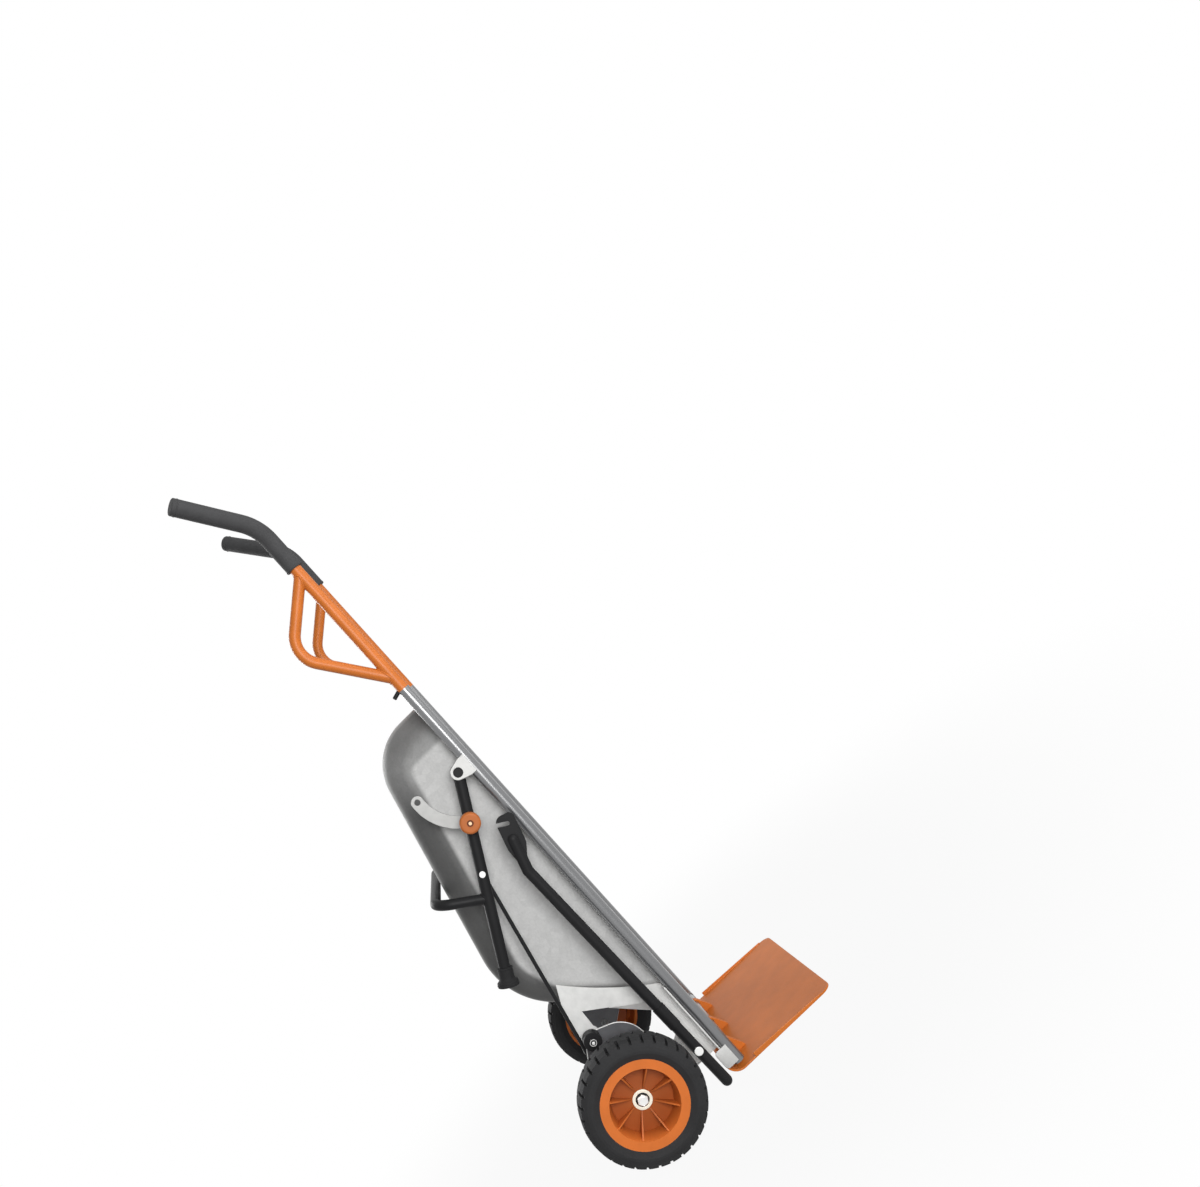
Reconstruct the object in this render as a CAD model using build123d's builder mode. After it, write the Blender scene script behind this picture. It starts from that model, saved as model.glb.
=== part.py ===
"""Convertible wheelbarrow standing upright in its dolly form, in millimetres.

+Z is up, the load leans on the -Y side and stands on the toe plate, and the wheels and
the underside of the tub face +Y. The two sides mirror each other about X = 0, and the
right side of someone holding the grips is -X. Heights start at the floor. In the side
views, y is counted from the line of the main tubes.
"""

import os
from math import cos, radians, sin, sqrt, tan

from build123d import *

os.makedirs("parts", exist_ok=True)

# Frame tubes
tube_r = 12.7
tube_wall = 2.0
tube_gap = 35.0
nose_r = 11.0
nose_z = 30.0

# Handles: straight from the joint, then bent back and out at the grips
joint_z = 1034.0
handle_corner_z = 1466.0
handle_bend_r = 85.0
grip_splay = 74.0
grip_end_y = 96.0
grip_end_z = 1592.0
grip_start_z = 1356.0
grip_r = 18.0
grip_cap = 5.0
grip_edge_r = 3.0
spigot_reach = 45.0
peg_r = 4.4
peg_length = 17.0
peg_rise = 6.0
peg_lean = 19.0
peg_round = 2.0

# Lower hand loops
loop_r = 12.0
loop_top_z = 1341.0
loop_corner_y = 123.0
loop_corner_z = 1226.0
loop_front_z = 1062.0
loop_bend_r = 55.0

# Tub, side view: rear wall, sloping bottom, nose and front wall
tub_half_width = 190.0
tub_draft = 8.0
tub_wall = 2.0
tub_rear_z = 990.0
tub_front_z = 150.0
tub_rear_corner = (149.0, 983.0)
tub_nose_corner = (289.0, 392.0)
tub_rear_r = 120.0
tub_nose_r = 172.0
tub_bevel = 50.0
tub_crease_r = 30.0
tub_belly_r = 70.0
tub_lip = 18.0
tub_lip_thickness = 2.0
tub_lip_corner_r = 60.0
tub_spare = 20.0

# Folding legs
leg_pivot_y = 31.0
leg_pivot_z = 836.7
leg_lean = 28.6
leg_r = 12.0
leg_wall = 2.0
leg_length = 441.0
leg_eye_r = 15.0
leg_pin_r = 10.0
running_gap = 0.06
ear_thickness = 3.0
ear_width = 43.0
ear_rim = 5.5
ear_notch = 0.5
lock_reach = 102.5
leg_swing = 66.0
quadrant_width = 26.0
quadrant_hole_r = 6.3
bar_joint = 261.0
bar_corner_y = 245.0
bar_corner_z = 666.0
bar_r = 11.0
bar_bend_r = 34.0
boot_length = 38.0
boot_wall = 3.5
boot_flare = 6.5
boot_sole = 9.0

# Lock knobs
knob_r = 21.5
knob_depth = 20.0
knob_edge_r = 5.0
knob_dish_r = 7.0
knob_dish_depth = 5.0
knob_screw_r = 3.4
knob_screw_drop = 1.5
plunger_r = 6.0
plunger_collar_r = 7.5
plunger_collar = 2.5
plunger_travel = 10.0
lock_gap = 0.6
seat_height = 3.0
seat_r = 11.0

# Link rods between the legs and the swing plates
rod_bolt_reach = 209.7
rod_bolt_r = 5.0
rod_head_r = 6.5
rod_head = 3.5
rod_lean = 12.0
rod_length = 560.0
rod_r = 4.0
rod_inset = 19.0
rod_eye_r = 9.5
rod_eye_depth = 8.5
rod_play = 9.0
rod_cap_r = 16.5
rod_cap = 3.0

# Axle brackets hanging from the main tubes
bracket_inset = 29.0
bracket_thickness = 3.0
bracket_front_z = 57.0
bracket_strip_y = 60.0
bracket_lug_y = 74.0
bracket_lug_z = 137.0
bracket_rear_z = 234.0
bracket_beam_z = 225.0
bracket_window_y = 172.0
bracket_window_z = 303.0
bracket_tip_y = 175.0
bracket_tip_z = 379.0
bracket_sag = 8.0
bracket_foot_r = 21.0
bracket_corner_r = 8.0
bracket_flange_reach = 36.0
gusset_start = 56.0
gusset_end = 16.0
gusset_depth = 33.0
gusset_bend = 40.0

# Swing plates that carry the axle
swing_y = 192.2
swing_z = 254.7
swing_inset = 12.0
swing_thickness = 4.0
swing_arch_y = 172.0
swing_arch_z = 189.0
swing_arch_r = 67.0
swing_pivot_eye_r = 13.0
swing_axle_eye_r = 28.0
swing_boss_r = 19.0
swing_boss_length = 26.0
swing_bolt_r = 5.0
swing_head_r = 9.5
swing_head = 6.0
swing_nut_flat_r = 7.5
swing_thread = 1.5
swing_spacer_r = 9.0
side_gap = 0.3

# Axle and wheels
axle_r = 8.0
wheel_y = 189.0
wheel_r = 127.0
wheel_offset = 84.0
tyre_width = 84.0
tyre_bead_r = 101.0
tyre_waist_r = 106.0
tyre_shoulder_r = 113.0
tyre_shoulder = 2.0
tyre_edge = 10.0
tyre_edge_drop = 3.0
tyre_crown = 16.0
rim_r = 88.5
rim_width = 72.0
rim_wall = 6.0
rim_ring_r = 70.0
dish_r = 62.0
dish_wall = 4.0
hub_r = 20.0
hub_face = 2.0
hub_length = 43.0
bush_r = 12.0
rib_count = 8
rib_thickness = 3.0
rib_rise = 2.0
rib_drop = 3.0
lug_count = 32
lug_gap = 5.5
lug_rib = 10.0
lug_root_r = 119.0
washer_r = 20.0
washer_thickness = 2.5
nut_flat_r = 11.0
nut_depth = 9.0
spacer_r = 13.0

# Extension arms stowed along the sides
arm_r = 11.5
arm_wall = 2.0
arm_offset = 28.0
arm_pivot_y = 47.0
arm_pivot_z = 102.0
arm_lean = 1.3
arm_tail = 86.0
arm_reach = 486.0
arm_bolt_r = 6.0
arm_bolt_head_r = 9.0
arm_bolt_head = 3.0
arm_sleeve_r = 9.0
arm_collar_r = 13.0
arm_collar_start = 66.0
arm_collar_length = 52.0
hook_bend = 11.5
hook_lean = 16.7
hook_thickness = 6.0
hook_front = 18.5
hook_rear = 22.0
hook_tip = 122.0
hook_finger_r = 16.0
hook_back_r = 10.0
hook_shoulder = 54.0
hook_neck = 30.0
hook_bullet = 80.5
hook_slot = 9.0
hook_slot_depth = 27.0
hook_slot_rise = 107.5
hook_slot_tilt = 12.7
tab_thickness = 3.0
tab_top = 19.0
tab_heel = 2.0
tab_tail_y = 25.0
tab_tail_drop = 14.0
tab_tip_y = 36.0
tab_tip_rise = 4.0

# Toe plate on the nose tube
toe_reach = 240.0
toe_overhang = 11.5
toe_thickness = 4.0
toe_heel_r = 30.0
toe_rim_height = 12.0
toe_rim_tip = 6.0
toe_rim_thickness = 3.0
toe_corner_r = 25.0
hinge_x = 150.0
hinge_width = 14.0
hinge_ring = 5.0
hinge_foot = 30.0
hinge_foot_rise = 3.0

# Worked out: the middle of the object's depth is y = 0, and the wheels stand on z = 0
tube_x = tub_half_width + tube_gap
rod_x = tube_x - rod_inset
bracket_x = tube_x - bracket_inset
swing_x = tube_x - swing_inset
wheel_x = tube_x + wheel_offset
arm_x = tube_x + arm_offset
toe_half_width = tube_x + toe_overhang
tube_y = (toe_reach - wheel_y - wheel_r) / 2
wheel_z = wheel_r
leg_dir = (sin(radians(leg_lean)), -cos(radians(leg_lean)))
rod_dir = (sin(radians(rod_lean)), -cos(radians(rod_lean)))
ear_out_x = tube_x + tube_r
ear_in_x = tube_x - tube_r - ear_thickness
arm_in_x = arm_x - arm_r
bracket_out_x = bracket_x + bracket_thickness
swing_out_x = swing_x + swing_thickness
boss_out_x = swing_out_x + swing_boss_length
hub_in_x = wheel_x + hub_face - hub_length
hub_out_x = wheel_x + hub_face


def side_view(x):
    """Plane at x seen from +X: first y from the tube line, then height."""
    return Plane(origin=(x, tube_y, 0), x_dir=(0, 1, 0), z_dir=(1, 0, 0))


def pivot_plane(x, y, z):
    """Side-view plane centred on a cross axis."""
    return Plane(origin=(x, tube_y + y, z), x_dir=(0, 1, 0), z_dir=(1, 0, 0))


def along_leg(reach):
    """Side-view point on the leg's centre line, counted from its pivot."""
    return leg_pivot_y + reach * leg_dir[0], leg_pivot_z + reach * leg_dir[1]


def leg_plane(x, reach):
    """Plane square to the leg at a reach from its pivot."""
    y, z = along_leg(reach)
    return Plane(origin=(x, tube_y + y, z), x_dir=(1, 0, 0), z_dir=(0, leg_dir[0], leg_dir[1]))


def arm_plane(x, reach):
    """Plane square to the stowed arm at a reach from its pivot."""
    lean = (sin(radians(arm_lean)), cos(radians(arm_lean)))
    y = arm_pivot_y + reach * lean[0]
    z = arm_pivot_z + reach * lean[1]
    return Plane(origin=(x, tube_y + y, z), x_dir=(1, 0, 0), z_dir=(0, lean[0], lean[1]))


def keep(piece, name):
    """Label a finished piece and write it."""
    piece.part.label = name
    export_step(piece.part, f"parts/{name}.step")


rod_bolt = along_leg(rod_bolt_reach)
rod_end = (rod_bolt[0] + rod_length * rod_dir[0], rod_bolt[1] + rod_length * rod_dir[1])
knob_point = along_leg(lock_reach)


def main_tube(side, s):
    with BuildPart() as tube:
        with BuildSketch(Plane.XY.offset(nose_z - tube_r)):
            with Locations((s * tube_x, tube_y)):
                Circle(tube_r)
                Circle(tube_r - tube_wall, mode=Mode.SUBTRACT)
        extrude(amount=joint_z - nose_z + tube_r)
    keep(tube, f"main_tube_{side}")


def nose_tube():
    with BuildPart() as tube:
        with BuildSketch(pivot_plane(-tube_x, 0, nose_z)):
            Circle(nose_r)
            Circle(nose_r - tube_wall, mode=Mode.SUBTRACT)
        extrude(amount=2 * tube_x)
        with BuildSketch():
            with Locations((-tube_x, tube_y), (tube_x, tube_y)):
                Circle(tube_r)
        extrude(amount=2 * nose_z, mode=Mode.SUBTRACT)
    keep(tube, "nose_tube")


def handle_points(s, start_z, short):
    """Route of a handle from start_z to the grip's end, less a short cap."""
    corner = Vector(s * tube_x, tube_y, handle_corner_z)
    end = Vector(s * (tube_x + grip_splay), tube_y + grip_end_y, grip_end_z)
    end = end - (end - corner).normalized() * short
    return Vector(s * tube_x, tube_y, start_z), corner, end


def handle_tube(side, s):
    with BuildPart() as tube:
        with BuildLine() as route:
            FilletPolyline(*handle_points(s, joint_z, grip_cap), radius=handle_bend_r)
        with BuildSketch(Plane(origin=route.line @ 0, z_dir=route.line % 0)):
            Circle(tube_r)
            Circle(tube_r - tube_wall, mode=Mode.SUBTRACT)
        sweep(path=route.wires()[0])
    keep(tube, f"handle_tube_{side}")


def grip(side, s):
    with BuildPart() as sleeve:
        with BuildLine() as route:
            FilletPolyline(*handle_points(s, grip_start_z, grip_cap), radius=handle_bend_r)
        with BuildSketch(Plane(origin=route.line @ 0, z_dir=route.line % 0)):
            Circle(grip_r)
            Circle(tube_r, mode=Mode.SUBTRACT)
        sweep(path=route.wires()[0])
        end = Plane(origin=route.line @ 1, z_dir=route.line % 1)
        with BuildSketch(Plane(end.origin, x_dir=end.x_dir, z_dir=-end.y_dir)):
            with BuildLine():
                Polyline((0, grip_cap), (0, 0), (grip_r, 0), (grip_r, grip_cap - grip_edge_r))
                RadiusArc((grip_r, grip_cap - grip_edge_r), (grip_r - grip_edge_r, grip_cap), -grip_edge_r)
                Line((grip_r - grip_edge_r, grip_cap), (0, grip_cap))
            make_face()
        revolve(axis=Axis(end.origin, end.z_dir))
    keep(sleeve, f"grip_{side}")


def handle_loop(side, s):
    points = [(0, loop_top_z), (loop_corner_y, loop_corner_z), (0, loop_front_z)]
    with BuildPart() as loop:
        with BuildLine() as route:
            FilletPolyline(*[(s * tube_x, tube_y + y, z) for y, z in points], radius=loop_bend_r)
        with BuildSketch(Plane(origin=route.line @ 0, z_dir=route.line % 0)):
            Circle(loop_r)
            Circle(loop_r - tube_wall, mode=Mode.SUBTRACT)
        sweep(path=route.wires()[0])
        with BuildSketch(Plane.XY.offset(joint_z)):
            with Locations((s * tube_x, tube_y)):
                Circle(tube_r)
        extrude(amount=grip_start_z - joint_z, mode=Mode.SUBTRACT)
    keep(loop, f"handle_loop_{side}")


def handle_joints():
    """Inner spigots where the handles plug into the main tubes, and the right joint's slanting peg."""
    with BuildPart() as spigots:
        with BuildSketch(Plane.XY.offset(joint_z - spigot_reach)):
            with Locations((-tube_x, tube_y), (tube_x, tube_y)):
                Circle(tube_r - tube_wall)
                Circle(tube_r - 2 * tube_wall, mode=Mode.SUBTRACT)
        extrude(amount=2 * spigot_reach)
    keep(spigots, "handle_spigots")
    with BuildPart() as pegs:
        root = (-tube_x, tube_y, joint_z + peg_rise)
        way = (0, cos(radians(peg_lean)), -sin(radians(peg_lean)))
        with BuildSketch(Plane(root, x_dir=(1, 0, 0), z_dir=way)):
            Circle(peg_r)
        extrude(amount=tube_r + peg_length)
        fillet(pegs.faces().sort_by(Axis.Y)[-1].edges(), peg_round)
        with BuildSketch(Plane.XY.offset(joint_z - spigot_reach)):
            with Locations((-tube_x, tube_y)):
                Circle(tube_r)
        extrude(amount=2 * spigot_reach, mode=Mode.SUBTRACT)
    keep(pegs, "handle_pegs")


def tub_block(inset):
    """Solid tub, inset all round, standing past the mouth by a spare height."""
    rear_slope = (tub_rear_corner[1] - tub_rear_z) / tub_rear_corner[0]
    front_slope = (tub_nose_corner[1] - tub_front_z) / tub_nose_corner[0]
    rear_top = (-tub_spare, tub_rear_z - tub_spare * rear_slope)
    front_top = (-tub_spare, tub_front_z - tub_spare * front_slope)
    top_half = tub_half_width - inset + tub_spare * tan(radians(tub_draft))
    depth = tub_nose_corner[0] + tub_spare
    low_half = top_half - depth * tan(radians(tub_draft))
    with BuildPart() as block:
        with BuildSketch(side_view(-tub_half_width - tub_spare)) as profile:
            with BuildLine():
                Polyline(rear_top, tub_rear_corner, tub_nose_corner, front_top, close=True)
            make_face()
            fillet(profile.vertices().sort_by_distance(tub_nose_corner)[0], tub_nose_r)
            fillet(profile.vertices().sort_by_distance(tub_rear_corner)[0], tub_rear_r)
            if inset:
                offset(amount=-inset)
        extrude(amount=2 * (tub_half_width + tub_spare))
        with BuildSketch(Plane.XY):
            with BuildLine():
                Polyline(
                    (-top_half, tube_y - tub_spare),
                    (-low_half, tube_y - tub_spare + depth),
                    (low_half, tube_y - tub_spare + depth),
                    (top_half, tube_y - tub_spare),
                    close=True,
                )
            make_face()
        extrude(amount=tub_rear_z + tub_nose_r, mode=Mode.INTERSECT)
        walls = block.faces().filter_by(lambda face: abs(face.normal_at().X) > 0.9)
        mouth = tube_y - tub_spare + 2 * tub_wall
        seams = [e for e in walls.edges() if e.center().Y > mouth]
        chamfer(seams, tub_bevel - inset * (2 - sqrt(2)))
        walls = block.faces().filter_by(lambda face: abs(face.normal_at().X) > 0.9)
        fillet([e for e in walls.edges() if e.center().Y > mouth], tub_crease_r - inset)
        belly = block.faces().filter_by(lambda face: abs(face.normal_at().X) < 0.01)
        rims = [e for e in belly.edges() if e.center().Y > mouth and abs(e.center().X) > tub_wall]
        fillet(rims, tub_belly_r - inset)
    return block.part


def tub():
    outside = tub_block(0)
    inside = tub_block(tub_wall)
    with BuildPart() as tray:
        add(outside)
        split(bisect_by=Plane.XZ.offset(-tube_y), keep=Keep.BOTTOM)
        with BuildSketch(Plane.XZ.offset(-tube_y)):
            with Locations((0, (tub_rear_z + tub_front_z) / 2)):
                lip_length = tub_rear_z - tub_front_z + 2 * tub_lip
                RectangleRounded(2 * tube_x, lip_length, tub_lip_corner_r)
        extrude(amount=-tub_lip_thickness)
        add(inside, mode=Mode.SUBTRACT)
        with BuildSketch(Plane.XY):
            with Locations((-tube_x, tube_y), (tube_x, tube_y)):
                Circle(tube_r)
        extrude(amount=joint_z, mode=Mode.SUBTRACT)
        for s in (-1, 1):
            with BuildSketch(side_view(s * (ear_in_x - ear_notch))):
                with Locations((0, leg_pivot_z)):
                    Rectangle(tube_r, ear_width + 2 * ear_notch)
            extrude(amount=s * tube_r, mode=Mode.SUBTRACT)
    keep(tray, "tub")


def pivot_ear(side, s):
    """Outer ear of a leg pivot, welded to the outside of the main tube."""
    with BuildPart() as ear:
        with BuildSketch(side_view(s * ear_out_x)):
            with Locations((leg_pivot_y, leg_pivot_z)):
                Circle(leg_pin_r + ear_rim)
            with Locations((tube_r / 2, leg_pivot_z)):
                Rectangle(tube_r, ear_width)
            make_hull()
            with Locations((leg_pivot_y, leg_pivot_z)):
                Circle(leg_pin_r + running_gap, mode=Mode.SUBTRACT)
        extrude(amount=s * ear_thickness)
    keep(ear, f"pivot_ear_{side}")


def lock_quadrant(side, s):
    """Inner ear of a leg pivot with the curved plate that the lock pin follows."""
    hole_turn = leg_lean + leg_swing
    end_y = leg_pivot_y + lock_reach * sin(radians(hole_turn))
    end_z = leg_pivot_z - lock_reach * cos(radians(hole_turn))
    with BuildPart() as quadrant:
        with BuildSketch(side_view(s * ear_in_x)):
            with Locations((leg_pivot_y, leg_pivot_z)):
                Circle(leg_pin_r + ear_rim)
            with Locations((tube_r / 2, leg_pivot_z)):
                Rectangle(tube_r, ear_width)
            make_hull()
            with BuildLine(mode=Mode.PRIVATE) as band:
                CenterArc((leg_pivot_y, leg_pivot_z), lock_reach, leg_lean - 90, leg_swing)
            SlotArc(band.edges()[0], quadrant_width)
            with BuildLine(mode=Mode.PRIVATE) as spoke:
                Line((leg_pivot_y, leg_pivot_z), knob_point)
            SlotArc(spoke.edges()[0], 2 * leg_r - 2 * tube_wall)
            with Locations((leg_pivot_y, leg_pivot_z)):
                Circle(leg_pin_r + running_gap, mode=Mode.SUBTRACT)
            with Locations((end_y, end_z), knob_point):
                Circle(quadrant_hole_r, mode=Mode.SUBTRACT)
        extrude(amount=s * ear_thickness)
    keep(quadrant, f"lock_quadrant_{side}")


def axle_bracket(side, s):
    """Pressed plate under a main tube with a drop leg to the swing pivot."""
    tip = (bracket_tip_y, bracket_tip_z)
    rear = (tube_r, bracket_rear_z)
    beam = (bracket_strip_y, bracket_beam_z)
    window = (bracket_window_y, bracket_window_z)
    foot_z = swing_z + bracket_corner_r
    crease = Vector(0, beam[0] - window[0], beam[1] - window[1])
    along = crease.normalized()
    down = Vector(0, -along.Z, along.Y)
    bent = down * cos(radians(gusset_bend)) + Vector(-s * sin(radians(gusset_bend)), 0, 0)
    with BuildPart() as bracket:
        with BuildSketch(side_view(s * bracket_x)):
            with BuildLine():
                SagittaArc(tip, rear, bracket_sag)
                Polyline(
                    rear,
                    (tube_r, bracket_front_z),
                    (bracket_lug_y, bracket_front_z),
                    (bracket_lug_y, bracket_lug_z - bracket_corner_r),
                    (bracket_strip_y, bracket_lug_z),
                    beam,
                    window,
                    (swing_y - bracket_foot_r + bracket_thickness, foot_z),
                    (swing_y + bracket_foot_r, foot_z),
                    (bracket_tip_y + bracket_foot_r, bracket_tip_z - 2 * bracket_foot_r),
                    tip,
                )
            make_face()
            with Locations((swing_y, swing_z)):
                Circle(bracket_foot_r)
            with Locations((swing_y, swing_z)):
                Circle(swing_bolt_r, mode=Mode.SUBTRACT)
            with Locations((arm_pivot_y, arm_pivot_z)):
                Circle(arm_bolt_r, mode=Mode.SUBTRACT)
        extrude(amount=s * bracket_thickness)
        with BuildSketch(side_view(s * bracket_x)):
            with Locations((tube_r + bracket_thickness / 2, (bracket_front_z + bracket_rear_z) / 2)):
                Rectangle(bracket_thickness, bracket_rear_z - bracket_front_z)
        extrude(amount=s * bracket_flange_reach)
        middle = (s * (bracket_x + bracket_thickness / 2), tube_y + window[0], window[1])
        with BuildSketch(Plane(middle, x_dir=along, z_dir=along.cross(bent))):
            with BuildLine():
                Polyline(
                    (gusset_start, 0),
                    (crease.length, 0),
                    (crease.length + gusset_end, gusset_depth),
                    close=True,
                )
            make_face()
        extrude(amount=bracket_thickness / 2, both=True)
    keep(bracket, f"axle_bracket_{side}")


def bar_along_x(centre, start, end, radius, bore=0.0):
    """Round bar or sleeve on a cross axis between two x stations."""
    with Locations(pivot_plane((start + end) / 2, *centre)):
        Cylinder(radius, abs(end - start))
        if bore:
            Cylinder(bore, abs(end - start), mode=Mode.SUBTRACT)


def swing_pivots():
    """Bolts, nuts and spacers that the swing plates turn on."""
    centre = (swing_y, swing_z)
    nut_x = boss_out_x + side_gap
    with BuildPart() as bolts:
        for s in (-1, 1):
            bar_along_x(centre, s * (bracket_x - swing_head), s * bracket_x, swing_head_r)
            bar_along_x(centre, s * bracket_x, s * (nut_x + swing_head + swing_thread), swing_bolt_r)
    keep(bolts, "swing_pivot_bolts")
    with BuildPart() as nuts:
        for s in (-1, 1):
            with BuildSketch(pivot_plane(s * nut_x, *centre)):
                RegularPolygon(swing_nut_flat_r, 6, major_radius=False)
                Circle(swing_bolt_r, mode=Mode.SUBTRACT)
            extrude(amount=s * swing_head)
    keep(nuts, "swing_nuts")
    with BuildPart() as spacers:
        for s in (-1, 1):
            bar_along_x(centre, s * bracket_out_x, s * (swing_x - side_gap), swing_spacer_r, swing_bolt_r)
    keep(spacers, "swing_spacers")


def leg(side, s):
    """Leg tube with its pivot eye, cross-drilled for the lock and the rod bolt."""
    with BuildPart() as tube:
        with BuildSketch(leg_plane(s * tube_x, 0)):
            Circle(leg_r)
        extrude(amount=leg_length - boot_sole)
        bar_along_x((leg_pivot_y, leg_pivot_z), s * (tube_x - leg_r), s * (tube_x + leg_r), leg_eye_r)
        with BuildSketch(leg_plane(s * tube_x, leg_eye_r)):
            Circle(leg_r - leg_wall)
        extrude(amount=leg_length, mode=Mode.SUBTRACT)
        with BuildSketch(pivot_plane(s * (tube_x - 2 * leg_r), leg_pivot_y, leg_pivot_z)):
            Circle(leg_pin_r)
        extrude(amount=s * 4 * leg_r, mode=Mode.SUBTRACT)
        with BuildSketch(pivot_plane(s * (tube_x - 2 * leg_r), *rod_bolt)):
            Circle(rod_bolt_r)
        extrude(amount=s * 4 * leg_r, mode=Mode.SUBTRACT)
        with BuildSketch(pivot_plane(s * (tube_x - 2 * leg_r), *knob_point)):
            Circle(plunger_r + running_gap)
        extrude(amount=s * 4 * leg_r, mode=Mode.SUBTRACT)
    keep(tube, f"leg_{side}")


def boot(side, s):
    """Flared rubber foot pushed over the end of a leg."""
    outer = leg_r + boot_wall
    with BuildPart() as cup:
        with BuildSketch(Plane(leg_plane(s * tube_x, leg_length).origin, x_dir=(1, 0, 0),
                               z_dir=(0, leg_dir[1], -leg_dir[0]))):
            with BuildLine():
                Polyline((0, 0), (outer + boot_flare, 0), (outer + boot_flare, boot_sole))
                Spline(
                    (outer + boot_flare, boot_sole),
                    (outer, boot_length / 2),
                    tangents=((-1, 1), (0, 1)),
                )
                Polyline((outer, boot_length / 2), (outer, boot_length), (leg_r, boot_length),
                         (leg_r, boot_sole), (0, boot_sole), (0, 0))
            make_face()
        revolve(axis=Axis(leg_plane(s * tube_x, leg_length).origin, (0, leg_dir[0], leg_dir[1])))
    keep(cup, f"boot_{side}")


def leg_crossbar():
    """Bent bar standing off the tub's bottom from leg to leg."""
    start = along_leg(bar_joint)
    route_points = [
        (-tube_x, tube_y + start[0], start[1]),
        (-tube_x, tube_y + bar_corner_y, bar_corner_z),
        (tube_x, tube_y + bar_corner_y, bar_corner_z),
        (tube_x, tube_y + start[0], start[1]),
    ]
    with BuildPart() as bar:
        with BuildLine() as route:
            FilletPolyline(*route_points, radius=bar_bend_r)
        with BuildSketch(Plane(origin=route.line @ 0, z_dir=route.line % 0)):
            Circle(bar_r)
            Circle(bar_r - tube_wall, mode=Mode.SUBTRACT)
        sweep(path=route.wires()[0])
        for s in (-1, 1):
            with BuildSketch(leg_plane(s * tube_x, 0)):
                Circle(leg_r)
            extrude(amount=leg_length, mode=Mode.SUBTRACT)
    keep(bar, "leg_crossbar")


def leg_pins():
    """Pivot pins through the ears, and the bolts of the link rods."""
    centre = (leg_pivot_y, leg_pivot_z)
    pin_in = ear_in_x - side_gap
    pin_out = ear_out_x + ear_thickness + side_gap
    with BuildPart() as pins:
        for s in (-1, 1):
            bar_along_x(centre, s * pin_in, s * pin_out, leg_pin_r)
    keep(pins, "leg_pivot_pins")
    head_in = rod_x + rod_eye_depth / 2 + side_gap
    with BuildPart() as bolts:
        for s in (-1, 1):
            outer = tube_x + leg_r
            inner = rod_x - rod_eye_depth / 2 - side_gap
            bar_along_x(rod_bolt, s * inner, s * outer, rod_bolt_r)
            bar_along_x(rod_bolt, s * outer, s * (outer + rod_head), rod_head_r)
            bar_along_x(rod_bolt, s * (inner - rod_head), s * inner, rod_head_r)
            bar_along_x(rod_bolt, s * head_in, s * (tube_x - leg_r), rod_head_r)
    keep(bolts, "rod_bolts")


def lock_knob(side, s):
    """Round pull knob, its plunger and screw through the leg, and the seat it rests on."""
    face_x = tube_x + leg_r + seat_height
    tip_x = ear_in_x + ear_thickness + lock_gap
    collar_x = tube_x - (plunger_travel + plunger_collar) / 2
    with BuildPart() as knob:
        with BuildSketch(pivot_plane(s * face_x, *knob_point)):
            Circle(knob_r)
        extrude(amount=s * knob_depth)
        rim = knob.faces().sort_by(Axis.X)[-1 if s > 0 else 0]
        fillet(rim.edges(), knob_edge_r)
        with BuildSketch(pivot_plane(s * (face_x + knob_depth), *knob_point)):
            Circle(knob_dish_r)
        extrude(amount=-s * knob_dish_depth, mode=Mode.SUBTRACT)
        with BuildSketch(pivot_plane(s * face_x, *knob_point)):
            Circle(plunger_r)
        extrude(amount=s * knob_depth / 2, mode=Mode.SUBTRACT)
        with BuildSketch(pivot_plane(s * face_x, *knob_point)):
            Circle(knob_screw_r)
        extrude(amount=s * knob_depth, mode=Mode.SUBTRACT)
    keep(knob, f"lock_knob_{side}")
    with BuildPart() as plunger:
        bar_along_x(knob_point, s * tip_x, s * (face_x + knob_depth / 2), plunger_r)
        bar_along_x(knob_point, s * collar_x, s * (collar_x + plunger_collar), plunger_collar_r)
        bar_along_x(knob_point, s * face_x, s * (face_x + knob_depth - knob_screw_drop), knob_screw_r)
    keep(plunger, f"lock_plunger_{side}")
    with BuildPart() as seat:
        bar_along_x(knob_point, s * (tube_x), s * face_x, seat_r, plunger_r + running_gap)
        with BuildSketch(leg_plane(s * tube_x, 0)):
            Circle(leg_r)
        extrude(amount=leg_length, mode=Mode.SUBTRACT)
    keep(seat, f"lock_seat_{side}")


def link_rod(side, s):
    """Thin rod from the leg's bolt to the swing plate, its front end bent outwards."""
    pin_end = swing_out_x + rod_cap + 2 * side_gap
    with BuildPart() as rod:
        with BuildSketch(Plane(origin=(s * rod_x, tube_y + rod_bolt[0], rod_bolt[1]), x_dir=(1, 0, 0),
                               z_dir=(0, rod_dir[0], rod_dir[1]))):
            Circle(rod_r)
        extrude(amount=rod_length)
        bar_along_x(rod_bolt, s * (rod_x - rod_eye_depth / 2), s * (rod_x + rod_eye_depth / 2), rod_eye_r)
        with BuildSketch(pivot_plane(s * (rod_x - rod_eye_depth), *rod_bolt)):
            Circle(rod_bolt_r + running_gap)
        extrude(amount=s * 2 * rod_eye_depth, mode=Mode.SUBTRACT)
        with Locations((s * rod_x, tube_y + rod_end[0], rod_end[1])):
            Sphere(rod_r)
        bar_along_x(rod_end, s * rod_x, s * pin_end, rod_r)
        bar_along_x(rod_end, s * (swing_out_x + 2 * side_gap), s * pin_end, rod_cap_r)
    keep(rod, f"link_rod_{side}")


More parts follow.
